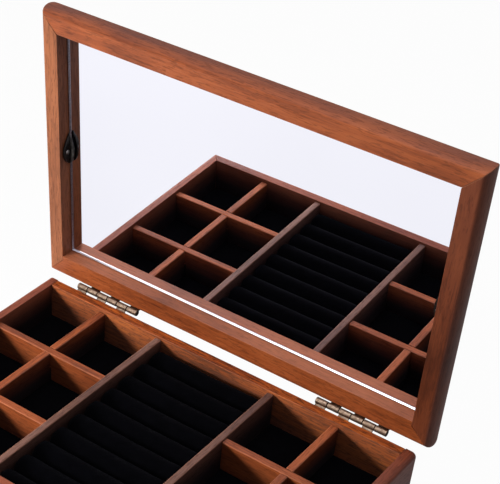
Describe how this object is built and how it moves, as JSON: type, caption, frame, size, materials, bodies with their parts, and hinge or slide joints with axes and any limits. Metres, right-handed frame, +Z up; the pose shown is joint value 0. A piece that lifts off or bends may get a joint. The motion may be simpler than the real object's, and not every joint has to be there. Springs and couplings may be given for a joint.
{
  "type": "tiered jewelry box",
  "caption": "Wooden jewelry box with a divided velvet-lined tray and ring rolls on top, drawers below, and a hinged lid with an inset mirror.",
  "frame": {"origin": "middle of the flat underside of the base", "axes": "+Z up, +X to the right of someone facing the drawers, +Y to the back, where the lid is hinged"},
  "size_m": [0.31, 0.2235, 0.3228],
  "materials": {
    "case_wood": "satin lacquer over reddish brown stain",
    "tray_wood": "matt stained wood",
    "drawer_wood": "matt stained wood",
    "velvet": "black velvet",
    "ring_velvet": "black velvet over foam rolls",
    "mirror": "silvered glass",
    "backing": "dark backing board",
    "clip_metal": "blackened metal",
    "hinge_brass": "antiqued brass",
    "knob_brass": "antiqued brass"
  },
  "bodies": {
    "case": {"base_plinth": "case_wood", "side_wall_left": "case_wood", "side_wall_right": "case_wood", "back_wall": "case_wood", "front_apron": "case_wood", "drawer_shelf": "tray_wood", "tray_floor": "tray_wood", "long_divider_left": "tray_wood", "long_divider_right": "tray_wood", "column_divider_left": "tray_wood", "column_divider_right": "tray_wood", "row_divider_left_1": "tray_wood", "row_divider_left_2": "tray_wood", "row_divider_right_1": "tray_wood", "row_divider_right_2": "tray_wood", "velvet_floor_left": "velvet", "velvet_floor_right": "velvet", "ring_cushion": "ring_velvet", "hinge_left_box_leaf": "hinge_brass", "hinge_right_box_leaf": "hinge_brass", "hinge_left_pin": "hinge_brass", "hinge_right_pin": "hinge_brass"},
    "lid": {"lid_hinge_rail": "case_wood", "lid_front_rail": "case_wood", "lid_stile_left": "case_wood", "lid_stile_right": "case_wood", "lid_panel": "case_wood", "mirror": "mirror", "mirror_backing": "backing", "mirror_clip_left": "clip_metal", "mirror_clip_right": "clip_metal", "mirror_clip_screw_left": "clip_metal", "mirror_clip_screw_right": "clip_metal", "hinge_left_lid_leaf": "hinge_brass", "hinge_right_lid_leaf": "hinge_brass"},
    "lower_drawer": {"lower_drawer_front": "case_wood", "lower_drawer_bottom": "drawer_wood", "lower_drawer_side_left": "drawer_wood", "lower_drawer_side_right": "drawer_wood", "lower_drawer_back": "drawer_wood", "lower_drawer_velvet": "velvet", "lower_drawer_knob_left": "knob_brass", "lower_drawer_knob_right": "knob_brass", "lower_drawer_knob_screw_left": "knob_brass", "lower_drawer_knob_screw_right": "knob_brass"},
    "upper_drawer": {"upper_drawer_front": "case_wood", "upper_drawer_bottom": "drawer_wood", "upper_drawer_side_left": "drawer_wood", "upper_drawer_side_right": "drawer_wood", "upper_drawer_back": "drawer_wood", "upper_drawer_velvet": "velvet", "upper_drawer_knob_left": "knob_brass", "upper_drawer_knob_right": "knob_brass", "upper_drawer_knob_screw_left": "knob_brass", "upper_drawer_knob_screw_right": "knob_brass"}
  },
  "joints": [
    {"name": "lid_hinge", "type": "hinge", "parent": "case", "child": "lid", "pos_m": [0, 0.0988, 0.1245], "axis": [1, 0, 0], "range_deg": [0, 88.6]},
    {"name": "lower_drawer_slide", "type": "slide", "parent": "case", "child": "lower_drawer", "axis": [0, -1, 0], "range_m": [0, 0.13]},
    {"name": "upper_drawer_slide", "type": "slide", "parent": "case", "child": "upper_drawer", "axis": [0, -1, 0], "range_m": [0, 0.13]}
  ]
}
